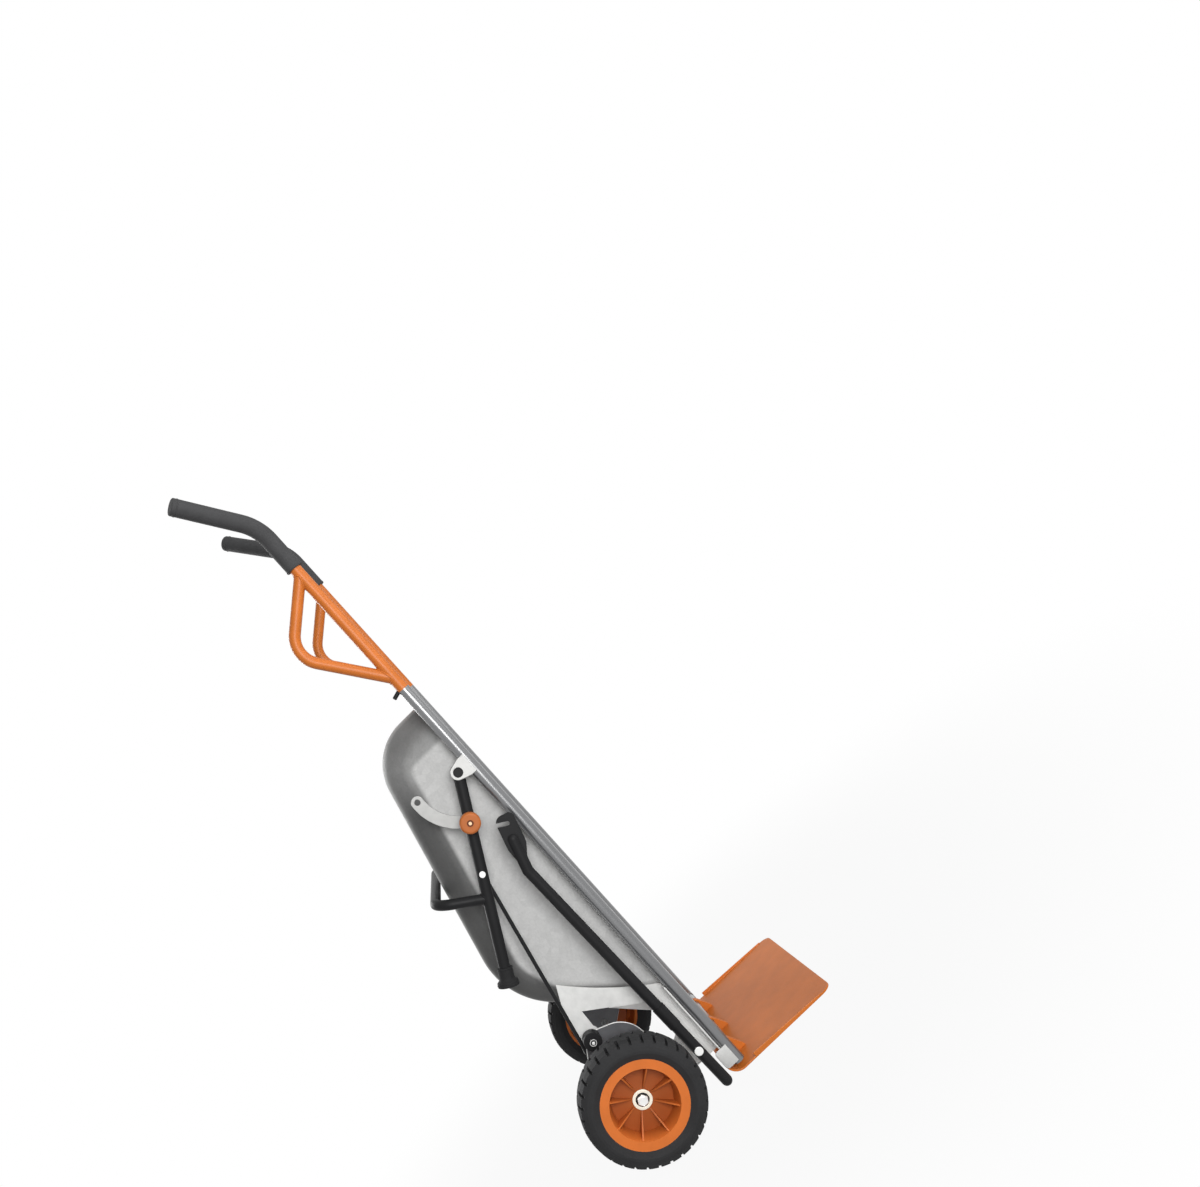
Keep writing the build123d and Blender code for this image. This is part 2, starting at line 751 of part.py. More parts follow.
def swing_plate(side, s):
    """Arched plate that turns on the bracket's foot and carries the axle."""
    with BuildPart() as plate:
        with BuildSketch(side_view(s * swing_x)):
            with Locations((swing_arch_y, swing_arch_z)):
                Circle(swing_arch_r)
            with Locations((swing_y, swing_z)):
                Circle(swing_pivot_eye_r)
            with Locations((wheel_y, wheel_z)):
                Circle(swing_axle_eye_r)
            with Locations(rod_end):
                Circle(rod_cap_r + rod_play)
            make_hull()
            with Locations((swing_y, swing_z)):
                Circle(swing_bolt_r + running_gap, mode=Mode.SUBTRACT)
            with Locations((wheel_y, wheel_z)):
                Circle(axle_r, mode=Mode.SUBTRACT)
            with Locations(rod_end):
                Circle(rod_r + rod_play, mode=Mode.SUBTRACT)
        extrude(amount=s * swing_thickness)
    keep(plate, f"swing_plate_{side}")


def axle_group():
    """Axle, its sleeves, and the bosses that run on the swing bolts."""
    axle_point = (wheel_y, wheel_z)
    end_x = hub_out_x + washer_thickness + nut_depth + side_gap
    with BuildPart() as bosses:
        for s in (-1, 1):
            bar_along_x((swing_y, swing_z), s * swing_out_x, s * boss_out_x, swing_boss_r,
                        swing_bolt_r + running_gap)
    keep(bosses, "swing_bosses")
    with BuildPart() as axle:
        bar_along_x(axle_point, -end_x, end_x, axle_r)
    keep(axle, "axle")
    with BuildPart() as spacers:
        for s in (-1, 1):
            bar_along_x(axle_point, s * swing_out_x, s * (hub_in_x - side_gap), spacer_r, axle_r)
    keep(spacers, "axle_spacers")
    with BuildPart() as washers:
        for s in (-1, 1):
            start = hub_out_x + side_gap
            bar_along_x(axle_point, s * start, s * (start + washer_thickness), washer_r, axle_r)
    keep(washers, "axle_washers")
    with BuildPart() as nuts:
        for s in (-1, 1):
            start = hub_out_x + side_gap + washer_thickness
            with BuildSketch(pivot_plane(s * start, *axle_point)):
                RegularPolygon(nut_flat_r, 6, major_radius=False)
                Circle(axle_r, mode=Mode.SUBTRACT)
            extrude(amount=s * nut_depth)
    keep(nuts, "axle_nuts")


def wheel_profile_plane(s):
    """Half section of a wheel: first outwards along the axle, then from the axle up."""
    return Plane(origin=(s * wheel_x, tube_y + wheel_y, wheel_z), x_dir=(s, 0, 0), z_dir=(0, -s, 0))


def tyre(side, s):
    """Tyre with bulged sidewalls and staggered lugs cut into both shoulders."""
    half = tyre_width / 2
    flank = [
        (rim_width / 2, rim_r),
        (half, tyre_bead_r),
        (half, tyre_waist_r),
        (half - tyre_shoulder, tyre_shoulder_r),
        (half - tyre_edge, wheel_r - tyre_edge_drop),
        (tyre_crown, wheel_r),
    ]
    with BuildPart() as ring:
        with BuildSketch(wheel_profile_plane(s)):
            with BuildLine():
                Polyline(*flank, *[(-x, r) for x, r in reversed(flank)], close=True)
            make_face()
        revolve(axis=Axis((0, tube_y + wheel_y, wheel_z), (1, 0, 0)))
        for face, stagger in ((1, 0.5), (-1, 0.0)):
            with BuildSketch(pivot_plane(s * (wheel_x + face * lug_rib / 2), wheel_y, wheel_z)):
                with PolarLocations(wheel_r, lug_count, start_angle=stagger * 360 / lug_count):
                    Rectangle(2 * (wheel_r - lug_root_r), lug_gap)
            extrude(amount=s * face * half, mode=Mode.SUBTRACT)
    keep(ring, f"tyre_{side}")


def rim(side, s):
    axle_line = Axis((0, tube_y + wheel_y, wheel_z), (1, 0, 0))
    half = rim_width / 2
    bed = rim_r - rim_wall
    back = hub_face - hub_length
    with BuildPart() as wheel:
        with BuildSketch(wheel_profile_plane(s)):
            with BuildLine():
                Polyline(
                    (-half, rim_r), (half, rim_r), (half, rim_ring_r), (0, dish_r),
                    (hub_face, hub_r), (hub_face, bush_r), (back, bush_r), (back, hub_r),
                    (-dish_wall, hub_r), (-dish_wall, dish_r + dish_wall),
                    (half - rim_wall, rim_ring_r + dish_wall), (half - rim_wall, bed), (-half, bed),
                    close=True,
                )
            make_face()
        revolve(axis=axle_line)
        with BuildSketch(wheel_profile_plane(s)):
            with BuildLine():
                Polyline(
                    (-rib_rise, hub_r - rib_rise), (hub_face, hub_r - rib_rise), (hub_face, hub_r + rib_rise),
                    (hub_face + rib_rise, hub_r + rib_rise), (half - rib_drop, rim_ring_r + rib_rise),
                    (-rib_rise, dish_r + rib_rise), close=True,
                )
            make_face()
        blade = extrude(amount=rib_thickness / 2, both=True, mode=Mode.PRIVATE)
        for turn in range(rib_count):
            add(blade.rotate(axle_line, turn * 360 / rib_count))
    keep(wheel, f"rim_{side}")
    with BuildPart() as bush:
        bar_along_x((wheel_y, wheel_z), s * hub_in_x, s * hub_out_x, bush_r, axle_r + running_gap)
    keep(bush, f"wheel_bush_{side}")


def extension_arm(side, s):
    """Stowed side arm: tube with a rounded tail and a collar, bent into a flat slotted hook."""
    with BuildPart() as tube:
        with BuildSketch(arm_plane(s * arm_x, -arm_tail)):
            Circle(arm_r)
        extrude(amount=arm_tail + arm_reach)
        with Locations(arm_plane(s * arm_x, -arm_tail)):
            Sphere(arm_r)
        with BuildSketch(arm_plane(s * arm_x, arm_collar_start)):
            Circle(arm_collar_r)
        extrude(amount=arm_collar_length)
        with BuildSketch(arm_plane(s * arm_x, arm_collar_start)):
            Circle(arm_r - arm_wall)
        extrude(amount=arm_reach - arm_collar_start, mode=Mode.SUBTRACT)
        with BuildSketch(pivot_plane(s * (arm_x - 2 * arm_r), arm_pivot_y, arm_pivot_z)):
            Circle(arm_bolt_r + running_gap)
        extrude(amount=s * 4 * arm_r, mode=Mode.SUBTRACT)
    keep(tube, f"arm_tube_{side}")
    bend = arm_plane(s * arm_x, arm_reach + hook_bend)
    head = Plane(bend.origin, x_dir=(0, cos(radians(hook_lean)), sin(radians(hook_lean))), z_dir=(1, 0, 0))
    with BuildPart() as hook:
        with BuildSketch(arm_plane(s * arm_x, arm_reach)):
            Circle(arm_r)
        extrude(amount=hook_bend)
        with BuildSketch(Plane(bend.origin, x_dir=(1, 0, 0), z_dir=head.y_dir)):
            Circle(arm_r)
        extrude(amount=hook_bullet - arm_r)
        with Locations(bend, Plane(bend.origin + head.y_dir * (hook_bullet - arm_r))):
            Sphere(arm_r)
        with BuildSketch(head) as plate:
            with BuildLine():
                Polyline(
                    (-hook_rear, hook_shoulder),
                    (-hook_rear, hook_tip),
                    (hook_front, hook_tip),
                    (hook_front, hook_shoulder),
                    close=True,
                )
            make_face()
            fillet(plate.vertices().sort_by_distance((hook_front, hook_tip))[0], hook_finger_r)
            fillet(plate.vertices().sort_by_distance((-hook_rear, hook_tip))[0], hook_back_r)
            with Locations((0, hook_neck)):
                Circle(arm_r)
            make_hull()
            with Locations((hook_front, hook_slot_rise)):
                SlotOverall(2 * hook_slot_depth, hook_slot, rotation=hook_slot_tilt, mode=Mode.SUBTRACT)
        extrude(amount=hook_thickness / 2, both=True)
    keep(hook, f"arm_hook_{side}")


def arm_pivots():
    """Sleeves on the brackets, bolts of the arms, and the tabs that stop their tails."""
    centre = (arm_pivot_y, arm_pivot_z)
    with BuildPart() as sleeves:
        for s in (-1, 1):
            bar_along_x(centre, s * bracket_out_x, s * (arm_in_x - side_gap), arm_sleeve_r, arm_bolt_r)
    keep(sleeves, "arm_pivot_sleeves")
    head_x = arm_x + arm_r + side_gap
    with BuildPart() as bolts:
        for s in (-1, 1):
            bar_along_x(centre, s * bracket_x, s * head_x, arm_bolt_r)
            bar_along_x(centre, s * head_x, s * (head_x + arm_bolt_head), arm_bolt_head_r)
            bar_along_x(centre, s * (bracket_x - arm_bolt_head), s * bracket_x, arm_bolt_head_r)
    keep(bolts, "arm_pivot_bolts")
    with BuildPart() as tabs:
        for s in (-1, 1):
            with BuildSketch(side_view(s * ear_out_x)):
                with BuildLine():
                    Polyline(
                        (0, nose_z + tab_top),
                        (0, nose_z - tab_heel),
                        (tab_tail_y, nose_z - tab_tail_drop),
                        (tab_tip_y, nose_z + tab_tip_rise),
                        close=True,
                    )
                make_face()
            extrude(amount=s * tab_thickness)
    keep(tabs, "arm_stop_tabs")


def toe_plate():
    """Bent plate with a round heel that turns about the nose tube."""
    heel_in = toe_heel_r - toe_thickness
    floor_z = nose_z - toe_heel_r
    with BuildPart() as plate:
        with BuildSketch(side_view(-toe_half_width)):
            with BuildLine():
                CenterArc((0, nose_z), toe_heel_r, -90, 90)
                Line((toe_heel_r, nose_z), (heel_in, nose_z))
                CenterArc((0, nose_z), heel_in, 0, -90)
                Polyline((0, floor_z + toe_thickness), (-toe_reach, floor_z + toe_thickness),
                         (-toe_reach, floor_z), (0, floor_z))
            make_face()
        extrude(amount=2 * toe_half_width)
        tips = plate.edges().filter_by(Axis.Z).group_by(Axis.Y)[0]
        fillet(tips, toe_corner_r)
        for s in (-1, 1):
            with BuildSketch(side_view(s * toe_half_width)):
                with BuildLine():
                    Polyline(
                        (-toe_heel_r, floor_z + toe_thickness),
                        (-toe_heel_r, floor_z + toe_rim_height),
                        (toe_corner_r - toe_reach, floor_z + toe_rim_tip),
                        (toe_corner_r - toe_reach, floor_z + toe_thickness),
                        close=True,
                    )
                make_face()
            extrude(amount=-s * toe_rim_thickness)
    keep(plate, "toe_plate")
    ring_r = nose_r + running_gap + hinge_ring
    with BuildPart() as lugs:
        for x in (-hinge_x, 0, hinge_x):
            with BuildSketch(side_view(x - hinge_width / 2)):
                with Locations((0, nose_z)):
                    Circle(ring_r)
                with Locations((-hinge_foot / 2, floor_z + toe_thickness + hinge_foot_rise / 2)):
                    Rectangle(hinge_foot, hinge_foot_rise)
                make_hull()
                with Locations((0, nose_z)):
                    Circle(nose_r + running_gap, mode=Mode.SUBTRACT)
            extrude(amount=hinge_width)
    keep(lugs, "toe_hinge_lugs")


for side, s in (("right", -1), ("left", 1)):
    main_tube(side, s)
    handle_tube(side, s)
    grip(side, s)
    handle_loop(side, s)
    pivot_ear(side, s)
    lock_quadrant(side, s)
    axle_bracket(side, s)
    leg(side, s)
    boot(side, s)
    lock_knob(side, s)
    link_rod(side, s)
    swing_plate(side, s)
    tyre(side, s)
    rim(side, s)
    extension_arm(side, s)

nose_tube()
handle_joints()
tub()
swing_pivots()
leg_crossbar()
leg_pins()
axle_group()
arm_pivots()
toe_plate()
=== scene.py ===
"""Convertible wheelbarrow, upright in its dolly form: finishes, small fittings and a plain studio."""

from math import pi, radians

import bpy
from bpy.props import FloatProperty, FloatVectorProperty, PointerProperty
from bpy.types import NodeSocket, Operator, Panel, PropertyGroup
from mathutils import Matrix, Vector


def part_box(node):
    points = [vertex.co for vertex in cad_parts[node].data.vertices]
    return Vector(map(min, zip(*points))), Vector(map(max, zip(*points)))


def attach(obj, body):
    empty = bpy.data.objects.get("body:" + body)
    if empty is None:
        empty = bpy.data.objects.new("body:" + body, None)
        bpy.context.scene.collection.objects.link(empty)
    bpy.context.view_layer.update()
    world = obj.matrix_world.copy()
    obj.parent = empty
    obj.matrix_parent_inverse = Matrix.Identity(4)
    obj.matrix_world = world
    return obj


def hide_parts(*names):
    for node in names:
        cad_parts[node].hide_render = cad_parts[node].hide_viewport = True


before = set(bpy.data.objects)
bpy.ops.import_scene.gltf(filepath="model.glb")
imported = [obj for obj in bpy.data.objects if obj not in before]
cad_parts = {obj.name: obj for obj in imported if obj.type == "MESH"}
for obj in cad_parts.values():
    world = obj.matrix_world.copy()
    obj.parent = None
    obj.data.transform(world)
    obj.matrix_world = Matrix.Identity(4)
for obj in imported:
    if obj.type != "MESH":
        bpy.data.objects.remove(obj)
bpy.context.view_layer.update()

bl_info = {
    "name": "Convertible wheelbarrow",
    "version": (1, 0, 0),
    "blender": (4, 5, 0),
    "location": "View3D > Sidebar > Barrow",
    "description": "Dresses the packed wheelbarrow with its finishes and small fittings",
    "category": "Object",
}

# Most of a noise's values lie in this span.
NOISE_SPAN = (0.3, 0.7)

# Rear, belly and nose line of the tub's bent border, along which the sheet gets a painted shade: the way in
# from the line, and its offset in metres.
BORDER_LINES = (
    ((0.0, -0.047, -0.9989), 0.9031),
    ((0.0, -0.973, -0.2305), 0.2686),
    ((0.0, -0.925, 0.379), -0.0095),
)
BORDER_BLEND = 0.03

# Half the thickness of a weld bead, in metres.
WELD_DEPTH = 0.0017

# Weld beads: name, a point on the welded tube, its way to the seat, bead radius, seat, body, slot, finish.
WELDS = (
    ("loop_top_weld", (-0.225, -0.0051, 1.3103), (0.0, -0.7304, 0.683), 0.0122,
     "handle_tube_right", "frame", "frame_orange", "orange_powder_coat"),
    ("loop_foot_weld", (-0.225, -0.011, 1.098), (0.0, -0.6, -0.8), 0.0122,
     "handle_tube_right", "frame", "frame_orange", "orange_powder_coat"),
    ("crossbar_weld", (-0.225, 0.1513, 0.6295), (0.0, -0.836, -0.549), 0.0112,
     "leg_right", "legs", "leg_black", "black_powder_coat"),
    ("nose_weld", (-0.180, -0.038, 0.030), (-1.0, 0.0, 0.0), 0.0112,
     "main_tube_right", "frame", "tube_silver", "silver_enamel"),
)

# The way that the right grip's end and the right leg point.
GRIP_WAY = (-0.423, 0.549, 0.721)
LEG_WAY = (0.0, -0.479, 0.878)

# Moulded cuffs: name, centre, the way of the tube inside, ring radius, half thickness, body, finish.
CUFFS = (
    ("grip_end_cuff", (-0.2948, 0.0525, 1.5848), GRIP_WAY, 0.0176, 0.0013, "frame", "grip_foam"),
    ("grip_foot_cuff", (-0.225, -0.038, 1.3585), (0.0, 0.0, 1.0), 0.0172, 0.0018, "frame", "grip_foam"),
    ("boot_top_cuff", (-0.225, 0.1869, 0.4811), LEG_WAY, 0.0149, 0.0017, "legs", "boot_rubber"),
    ("boot_sole_cuff", (-0.225, 0.2022, 0.453), LEG_WAY, 0.0214, 0.0014, "legs", "boot_rubber"),
)

# Lamps: name, place and width in metres, and watts. All of them look at one point.
LAMP_AIM = Vector((0.0, 0.05, 0.8))
LAMPS = (
    ("key", (-3.3, -0.6, 1.45), 1.8, 97.0),
    ("front", (-1.3, -3.2, 2.4), 3.0, 64.0),
    ("back", (2.6, 2.3, 2.0), 2.4, 75.0),
)

# The photo's camera: its place in metres, its axes, its lens and film in millimetres, and its shift.
VIEW_FROM = (-2.6251, -0.0951, 0.9944)
VIEW_RIGHT = Vector((-0.07434, -0.74029, -0.66816))
VIEW_UP = Vector((-0.01878, -0.66886, 0.74316))
VIEW_AHEAD = Vector((0.99705, -0.06779, -0.03581))
VIEW_LENS = 35.73
VIEW_FILM = 36.0
VIEW_SHIFT = (0.061, 0.057)

WHITE = (1.0, 1.0, 1.0, 1.0)


def linear(hex_colour):
    """Linear RGBA of an sRGB hex value."""
    parts = [int(hex_colour[i:i + 2], 16) / 255 for i in (1, 3, 5)]
    return tuple(c / 12.92 if c <= 0.04045 else ((c + 0.055) / 1.055) ** 2.4 for c in parts) + (1.0,)


def per_mm(size):
    """Texture scale, in repeats per metre, of a pattern whose grain is so many millimetres."""
    return 1000.0 / size


def paint(name, text, hex_colour):
    """A colour property of the part's finish."""
    return FloatVectorProperty(name=name, description=text, subtype="COLOR", size=4, min=0, max=1,
                               default=linear(hex_colour))


class BarrowColours(PropertyGroup):
    """Colours of the finishes."""

    orange: paint("Orange", "Powder coat of the handles and the toe plate", "#c86e29")
    wheel_orange: paint("Wheel orange", "Moulded rims", "#d2702f")
    knob_orange: paint("Knob orange", "Moulded lock knobs", "#b0622d")
    black: paint("Black", "Powder coat of the legs, rods and arms", "#212122")
    silver: paint("Silver", "Enamel of the main tubes", "#525355")
    sheet: paint("Sheet", "Galvanised sheet of the tub", "#c4c4c3")
    zinc: paint("Zinc", "Plated axle brackets and cut edges of the swing plates", "#dadad8")
    ear: paint("Ear", "Satin plating of the leg ears and stop tabs", "#c6c6c4")
    quadrant: paint("Quadrant", "Duller plating of the lock quadrants", "#b0b0ae")
    bolt: paint("Bolt", "Plated bolt heads and tips", "#f2f2f0")
    plate: paint("Plate", "Phosphated faces of the swing plates", "#57585b")
    steel: paint("Steel", "Turned axle, spacers and nuts", "#f1f1ef")
    washer: paint("Washer", "Hub washers", "#f4eedd")
    brass: paint("Brass", "Screw ends in the knobs", "#ecc59c")
    rubber: paint("Rubber", "Foam of the grips", "#424243")
    # The boot colour also gives the dark ring of painted shade round the hub nuts.
    boot: paint("Boot", "Moulded boots of the legs and seals of the hubs", "#1d1d1e")
    tyre: paint("Tyre", "Tread and sidewall", "#272728")
    nylon: paint("Nylon", "Wheel bushes", "#e9e8e2")


class BarrowSizes(PropertyGroup):
    """Sizes of the finish and the studio."""

    sheet_grain: FloatProperty(name="Sheet grain", default=5.0, min=1.0, max=40.0,
                               description="Grain of the galvanised sheet, in millimetres")
    coat_peel: FloatProperty(name="Coat peel", default=3.0, min=0.5, max=20.0,
                             description="Orange peel of the powder coat, in millimetres")
    grip_grain: FloatProperty(name="Grip grain", default=3.0, min=0.5, max=20.0,
                              description="Pebble of the grip foam, in millimetres")
    floor_radius: FloatProperty(name="Floor radius", default=9.0, min=2.0, max=50.0, unit="LENGTH",
                                description="Radius of the studio floor")


def add(tree, kind, inputs=None, **settings):
    """Add a node with its settings; inputs maps a socket to a value or to another node's output."""
    node = tree.nodes.new(kind)
    for key, value in settings.items():
        setattr(node, key, value)
    for key, value in (inputs or {}).items():
        if isinstance(value, NodeSocket):
            tree.links.new(value, node.inputs[key])
        else:
            node.inputs[key].default_value = value
    return node


def maths(tree, operation, *values):
    """The result of one sum on values or sockets."""
    return add(tree, "ShaderNodeMath", dict(enumerate(values)), operation=operation).outputs["Value"]


def ramp(tree, value, low, high, start=0.0, end=1.0, smooth=False):
    """A value that goes from start to end while another goes from low to high."""
    node = add(tree, "ShaderNodeMapRange",
               {"Value": value, "From Min": low, "From Max": high, "To Min": start, "To Max": end},
               interpolation_type="SMOOTHSTEP" if smooth else "LINEAR")
    return node.outputs["Result"]


def scaled(tree, colour, share):
    """A colour times a share or a tint."""
    return add(tree, "ShaderNodeVectorMath", {0: colour, 1: share}, operation="MULTIPLY").outputs["Vector"]


def split(tree, vector):
    """The X, Y and Z of a vector."""
    node = add(tree, "ShaderNodeSeparateXYZ", {"Vector": vector})
    return node.outputs["X"], node.outputs["Y"], node.outputs["Z"]


def mixed(tree, share, first, second):
    """A number that goes from the first to the second by a share."""
    return add(tree, "ShaderNodeMix", {0: share, 2: first, 3: second}, data_type="FLOAT").outputs[0]


def mixed_colours(tree, share, first, second):
    """A colour that goes from the first to the second by a share."""
    return add(tree, "ShaderNodeMix", {0: share, 6: first, 7: second}, data_type="RGBA").outputs[2]


def noise(tree, place, grain, detail=2.0, roughness=0.5):
    """Soft noise of a given grain in millimetres."""
    node = add(tree, "ShaderNodeTexNoise", {"Vector": place, "Scale": per_mm(grain), "Detail": detail,
                                            "Roughness": roughness})
    return node.outputs["Fac"]


def start_material(name, **sockets):
    """A material with its shader's constant sockets set; returns it with its tree, shader and coordinates."""
    old = bpy.data.materials.get(name)
    if old:
        bpy.data.materials.remove(old)
    material = bpy.data.materials.new(name)
    material.use_nodes = True
    tree = material.node_tree
    shader = tree.nodes["Principled BSDF"]
    for key, value in sockets.items():
        shader.inputs[key.replace("_", " ")].default_value = value
    return material, tree, shader, add(tree, "ShaderNodeTexCoord")


def mottle(tree, shader, place, colour, grain, low, high, detail=2.0):
    """Vary a colour between two shares of itself with a noise of a given grain; returns the noise."""
    cloud = noise(tree, place, grain, detail)
    share = ramp(tree, cloud, *NOISE_SPAN, low, high)
    tree.links.new(scaled(tree, colour[:3], share), shader.inputs["Base Color"])
    return cloud


def rough_bump(tree, shader, height, low, high, strength, depth):
    """Vary the roughness and raise the surface by the same pattern; depth is in millimetres."""
    tree.links.new(ramp(tree, height, 0.0, 1.0, low, high), shader.inputs["Roughness"])
    bump = add(tree, "ShaderNodeBump", {"Height": height, "Strength": strength, "Distance": depth / 1000})
    tree.links.new(bump.outputs["Normal"], shader.inputs["Normal"])


def powder_coat(name, colour, peel, roughness, shine):
    """Baked powder coat on steel: even colour, soft gloss and a faint orange peel."""
    material, tree, shader, coords = start_material(name, IOR=1.5, Specular_IOR_Level=shine)
    place = coords.outputs["Object"]
    mottle(tree, shader, place, colour, grain=45.0, low=0.93, high=1.05)
    skin = noise(tree, place, peel, detail=1.0)
    rough_bump(tree, shader, skin, roughness - 0.06, roughness + 0.08, strength=0.1, depth=0.1)
    return material


def silver_enamel(name, colour):
    """Metallic enamel on the main tubes: flakes give a soft sparkle, and the lacquer a sharp highlight."""
    material, tree, shader, coords = start_material(name, Metallic=0.2, Coat_Weight=1.0, Coat_Roughness=0.25,
                                                    Coat_IOR=2.0)
    # Real flakes are under 0.1 mm; they are drawn at 2 mm so that they show.
    flake = mottle(tree, shader, coords.outputs["Object"], colour, grain=2.0, low=0.96, high=1.03, detail=3.0)
    rough_bump(tree, shader, flake, 0.3, 0.44, strength=0.03, depth=0.05)
    return material


def border_distance(tree, place):
    """How far in from the tub's bent border a point lies."""
    inmost = None
    for inward, offset in BORDER_LINES:
        along = add(tree, "ShaderNodeVectorMath", {0: place, 1: inward}, operation="DOT_PRODUCT")
        line = maths(tree, "ADD", along.outputs["Value"], offset)
        inmost = line if inmost is None else maths(tree, "SMOOTH_MIN", inmost, line, BORDER_BLEND)
    return inmost


def painted_shade_tone(tree, coords):
    """Share of the sheet's colour left by a painted shade: 1 on the side walls, less along the bent border
    and on the belly.
    """
    normal_x = split(tree, coords.outputs["Normal"])[0]
    place_x, _, place_z = split(tree, coords.outputs["Object"])
    border = border_distance(tree, coords.outputs["Object"])
    # The lean is 1 on a face that looks straight sideways, and 0 on the belly and the ends.
    lean = maths(tree, "ABSOLUTE", normal_x)
    upright = ramp(tree, lean, 0.76, 0.97, smooth=True)
    inner = ramp(tree, border, -0.008, 0.004, smooth=True)
    wall = maths(tree, "MULTIPLY", upright, inner)
    # The belly and the ends get part of the painted shade as well.
    belly = ramp(tree, lean, 0.2, 0.45, start=0.7, end=0.0)
    plain = maths(tree, "MAXIMUM", wall, belly)
    # Painted shade along the border, darkest low down and on the outside.
    by_height = ramp(tree, place_z, 0.8, 0.9, start=0.25, end=0.52, smooth=True)
    by_depth = ramp(tree, border, -0.055, 0.0, start=0.68, end=1.15)
    outside_shade = maths(tree, "MULTIPLY", by_height, by_depth)
    # Inside the tub the painted shade along the border is paler.
    inside_shade = 0.66
    outside = ramp(tree, maths(tree, "MULTIPLY", normal_x, place_x), -0.01, 0.01)
    border_shade = mixed(tree, outside, inside_shade, outside_shade)
    return ramp(tree, plain, 0.0, 1.0, start=border_shade, end=1.0)


def galvanised_sheet(name, colour, grain):
    """Hot-dip galvanised steel: a pale matt skin, sandy grain, faint spangle, and a painted shade along the
    bent border and belly.
    """
    material, tree, shader, coords = start_material(name, Metallic=0.02, Specular_IOR_Level=0.15)
    place = coords.outputs["Object"]
    sand = noise(tree, place, grain, detail=3.0, roughness=0.65)
    spangle = add(tree, "ShaderNodeTexVoronoi", {"Vector": place, "Scale": per_mm(14.0)})
    grey = add(tree, "ShaderNodeSeparateColor", {"Color": spangle.outputs["Color"]}).outputs[0]
    spangle_share = 0.22
    skin = mixed(tree, spangle_share, sand, grey)
    share = ramp(tree, skin, 0.25, 0.75, start=0.88, end=1.08)
    # The colour carries the painted shade of the bent border and belly.
    tone = maths(tree, "MULTIPLY", share, painted_shade_tone(tree, coords))
    tree.links.new(scaled(tree, colour[:3], tone), shader.inputs["Base Color"])
    rough_bump(tree, shader, skin, 0.42, 0.6, strength=0.3, depth=0.25)
    return material


def zinc_plate(name, colour, roughness):
    """Bright zinc plating on pressed steel: near white, with cloudy patches and a fine satin grain."""
    material, tree, shader, coords = start_material(name, Metallic=0.2)
    place = coords.outputs["Object"]
    mottle(tree, shader, place, colour, grain=18.0, low=0.9, high=1.03, detail=3.0)
    satin = noise(tree, place, 2.5)
    rough_bump(tree, shader, satin, roughness - 0.08, roughness + 0.1, strength=0.12, depth=0.06)
    return material


def cut_plate(name, colour, edge):
    """Phosphated plate steel: dark matt faces, and bright bare metal where the edge was cut."""
    material, tree, shader, coords = start_material(name, Metallic=0.25)
    lean = maths(tree, "ABSOLUTE", split(tree, coords.outputs["Normal"])[0])
    face = ramp(tree, lean, 0.78, 0.96)
    cloud = noise(tree, coords.outputs["Object"], 12.0, detail=3.0)
    dark = scaled(tree, colour[:3], ramp(tree, cloud, 0.0, 1.0, start=0.82, end=1.2))
    tree.links.new(mixed_colours(tree, face, edge, dark), shader.inputs["Base Color"])
    rough_bump(tree, shader, cloud, 0.4, 0.58, strength=0.1, depth=0.08)
    return material


def turned_steel(name, colour):
    """Turned and plated steel of the axle fittings: bright, with fine tool marks round the axle."""
    material, tree, shader, coords = start_material(name, Metallic=0.85)
    mark_scale = (per_mm(1.5), per_mm(12.0), per_mm(12.0))
    place = add(tree, "ShaderNodeMapping", {"Vector": coords.outputs["Object"], "Scale": mark_scale})
    marks = add(tree, "ShaderNodeTexNoise", {"Vector": place.outputs["Vector"], "Scale": 1.0, "Detail": 2.0})
    share = ramp(tree, marks.outputs["Fac"], 0.0, 1.0, start=0.88, end=1.06)
    tree.links.new(scaled(tree, colour[:3], share), shader.inputs["Base Color"])
    rough_bump(tree, shader, marks.outputs["Fac"], 0.22, 0.38, strength=0.1, depth=0.04)
    return material


def foam_rubber(name, colour, grain):
    """Moulded foam rubber: soft, nearly matt, with a fine pebbled skin."""
    material, tree, shader, coords = start_material(name, IOR=1.5, Specular_IOR_Level=0.2)
    place = coords.outputs["Object"]
    mottle(tree, shader, place, colour, grain=25.0, low=0.9, high=1.08)
    # A pebble of the skin is about 1 mm; it is drawn coarser so that it shows.
    pebble = add(tree, "ShaderNodeTexVoronoi", {"Vector": place, "Scale": per_mm(grain)})
    rough_bump(tree, shader, pebble.outputs["Distance"], 0.62, 0.8, strength=0.35, depth=0.3)
    return material


def tyre_rubber(name, colour):
    """Cured tyre rubber: charcoal, matt, with a slight bloom that greys it in patches."""
    material, tree, shader, coords = start_material(name, IOR=1.5, Specular_IOR_Level=0.25)
    place = coords.outputs["Object"]
    mottle(tree, shader, place, colour, grain=30.0, low=0.86, high=1.12, detail=4.0)
    grit = noise(tree, place, 2.5, detail=3.0)
    rough_bump(tree, shader, grit, 0.68, 0.86, strength=0.2, depth=0.15)
    return material


